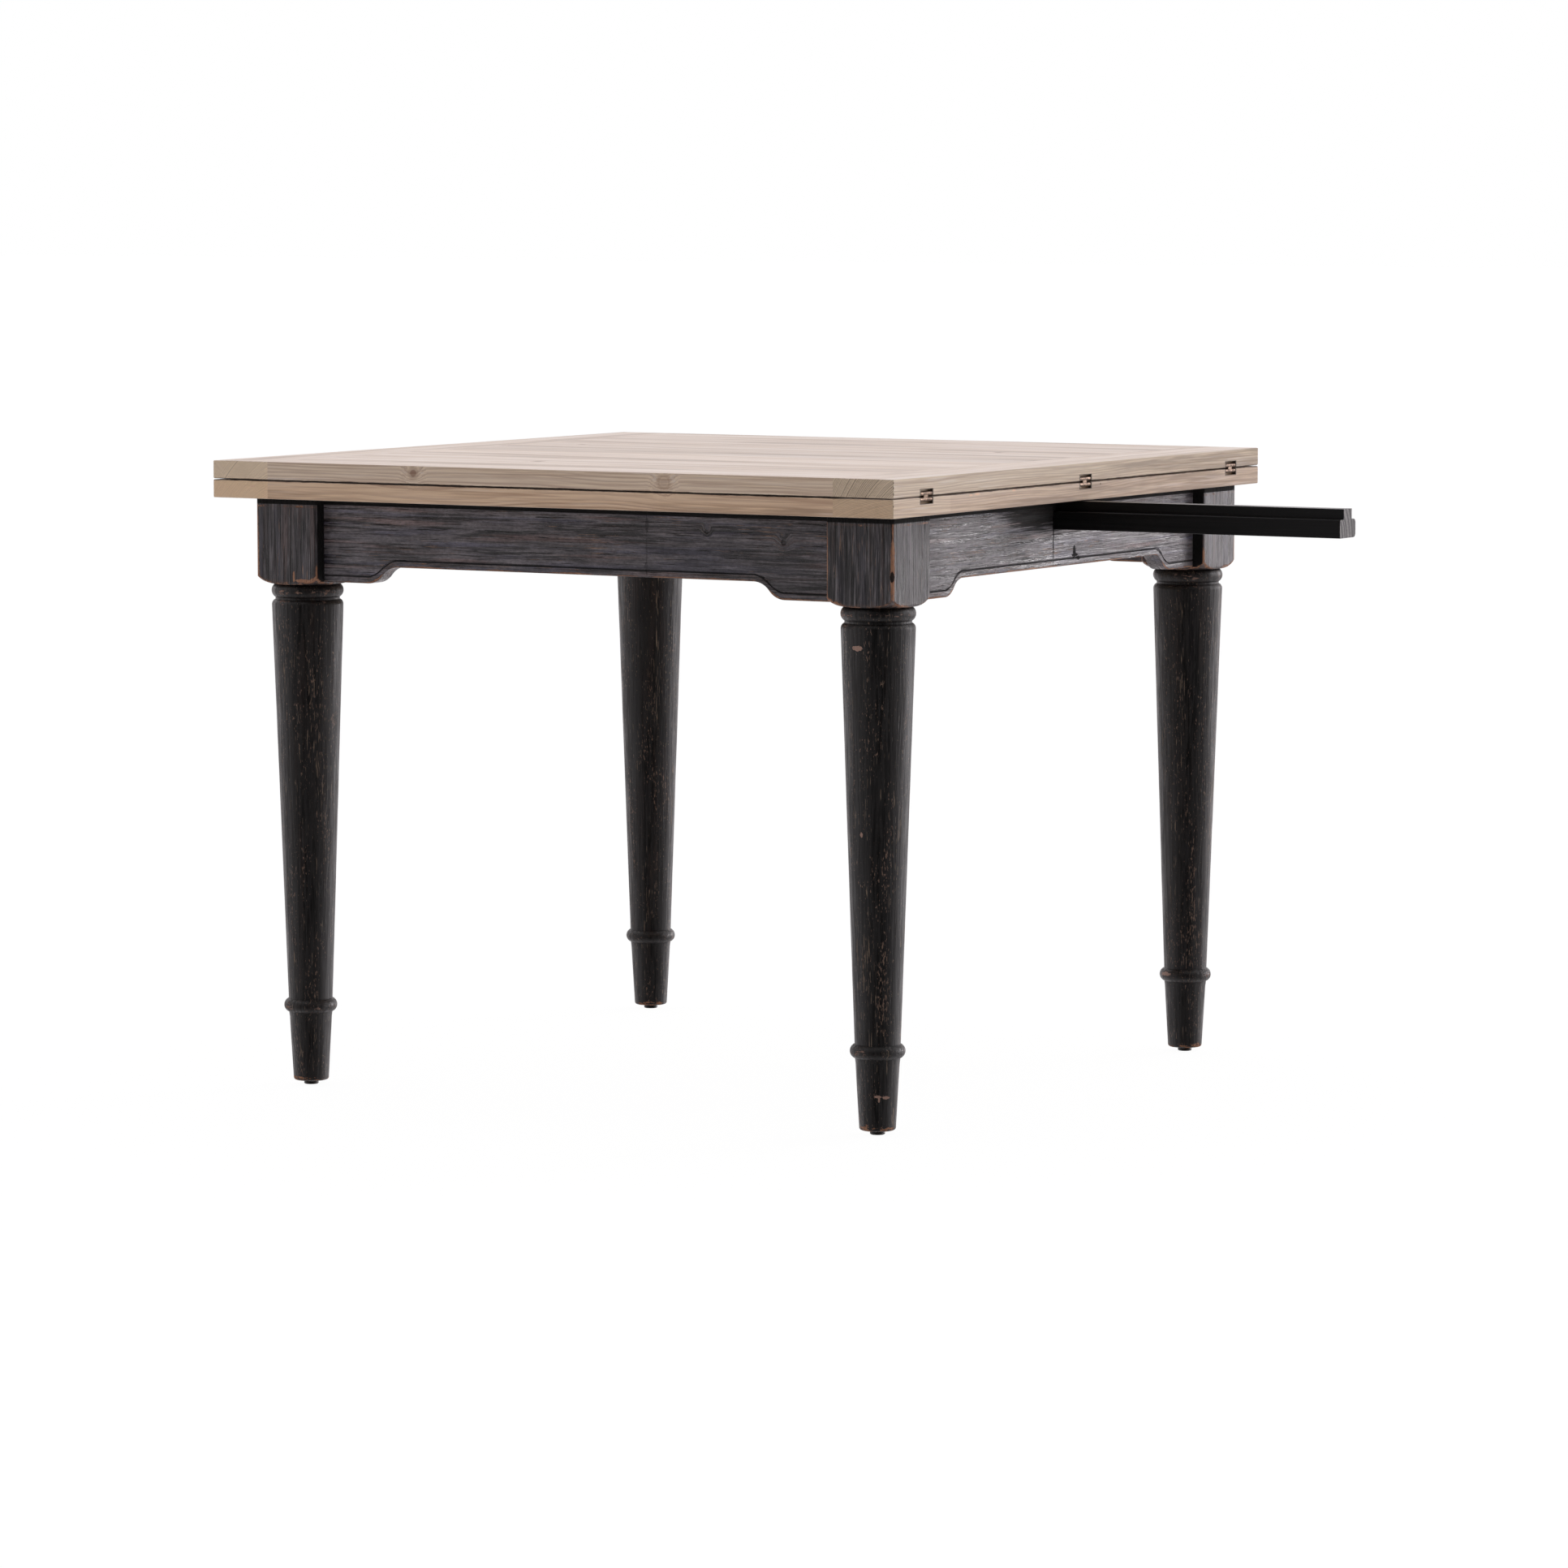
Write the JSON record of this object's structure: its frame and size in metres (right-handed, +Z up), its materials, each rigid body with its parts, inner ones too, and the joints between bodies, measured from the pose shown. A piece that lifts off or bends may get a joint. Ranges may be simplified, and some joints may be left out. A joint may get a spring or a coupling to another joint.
{
  "type": "extending dining table",
  "caption": "Square dining table with turned legs and a top that folds open sideways over a drawn-out support slide, doubling its length.",
  "frame": {"origin": "on the floor, midway between the four legs", "axes": "+X towards the hinge edge and the drawn-out slide, +Y to the back, +Z up"},
  "size_m": [1.2985, 0.95, 0.77],
  "materials": {
    "whitewashed_pine": "pale whitewashed pine boards, matt wax, with warm tan edges",
    "charcoal_paint": "near-black stained paint, satin, grain showing through, rubbed through on the edges",
    "slide_black": "smooth black lacquer",
    "plain_wood": "bare planed softwood",
    "antique_brass": "dull antique brass",
    "zinc_steel": "zinc-plated steel",
    "glide_plastic": "black nail-in glides",
    "bumper_clear": "clear bumpers"
  },
  "bodies": {
    "frame": {"leg_front_left": "charcoal_paint", "leg_front_right": "charcoal_paint", "leg_back_left": "charcoal_paint", "leg_back_right": "charcoal_paint", "apron_front": "charcoal_paint", "apron_back": "charcoal_paint", "apron_left": "charcoal_paint", "apron_right": "charcoal_paint", "brace_front_left": "plain_wood", "brace_front_right": "plain_wood", "brace_back_left": "plain_wood", "brace_back_right": "plain_wood", "hanger_bolts": "zinc_steel", "bolt_washers": "zinc_steel", "bolt_nuts": "zinc_steel", "frame_screws": "zinc_steel", "top_buttons": "plain_wood", "foot_glides": "glide_plastic", "hinge_plate_lower_front": "antique_brass", "hinge_plate_lower_middle": "antique_brass", "hinge_plate_lower_back": "antique_brass", "hinge_pins_lower": "antique_brass", "hinge_screws_lower": "antique_brass", "guide_strip_front": "plain_wood", "guide_strip_back": "plain_wood", "slide_end_stop": "plain_wood", "cross_bearer": "plain_wood", "lower_end_board_left": "whitewashed_pine", "lower_end_board_right": "whitewashed_pine", "lower_plank_1": "whitewashed_pine", "lower_plank_2": "whitewashed_pine", "lower_plank_3": "whitewashed_pine", "lower_plank_4": "whitewashed_pine", "lower_plank_5": "whitewashed_pine", "lower_plank_6": "whitewashed_pine", "lower_plank_7": "whitewashed_pine", "lower_plank_8": "whitewashed_pine", "lower_plank_9": "whitewashed_pine", "leaf_bumpers": "bumper_clear"},
    "hinge_links": {"hinge_link_front": "antique_brass", "hinge_link_middle": "antique_brass", "hinge_link_back": "antique_brass"},
    "upper_leaf": {"upper_end_board_left": "whitewashed_pine", "upper_end_board_right": "whitewashed_pine", "upper_plank_1": "whitewashed_pine", "upper_plank_2": "whitewashed_pine", "upper_plank_3": "whitewashed_pine", "upper_plank_4": "whitewashed_pine", "upper_plank_5": "whitewashed_pine", "upper_plank_6": "whitewashed_pine", "upper_plank_7": "whitewashed_pine", "upper_plank_8": "whitewashed_pine", "upper_plank_9": "whitewashed_pine", "hinge_plate_upper_front": "antique_brass", "hinge_plate_upper_middle": "antique_brass", "hinge_plate_upper_back": "antique_brass", "hinge_pins_upper": "antique_brass", "hinge_screws_upper": "antique_brass"},
    "support_slide": {"support_slide": "slide_black", "slide_peg": "plain_wood"}
  },
  "joints": [
    {"name": "hinge_link_swing", "type": "hinge", "parent": "frame", "child": "hinge_links", "pos_m": [0.4597, 0, 0.744], "axis": [0, 1, 0], "range_deg": [0, 90]},
    {"name": "leaf_fold", "type": "hinge", "parent": "hinge_links", "child": "upper_leaf", "pos_m": [0.4597, 0, 0.7508], "axis": [0, 1, 0], "range_deg": [0, 90]},
    {"name": "slide_travel", "type": "slide", "parent": "frame", "child": "support_slide", "axis": [1, 0, 0], "range_m": [-0.366, 0]}
  ]
}
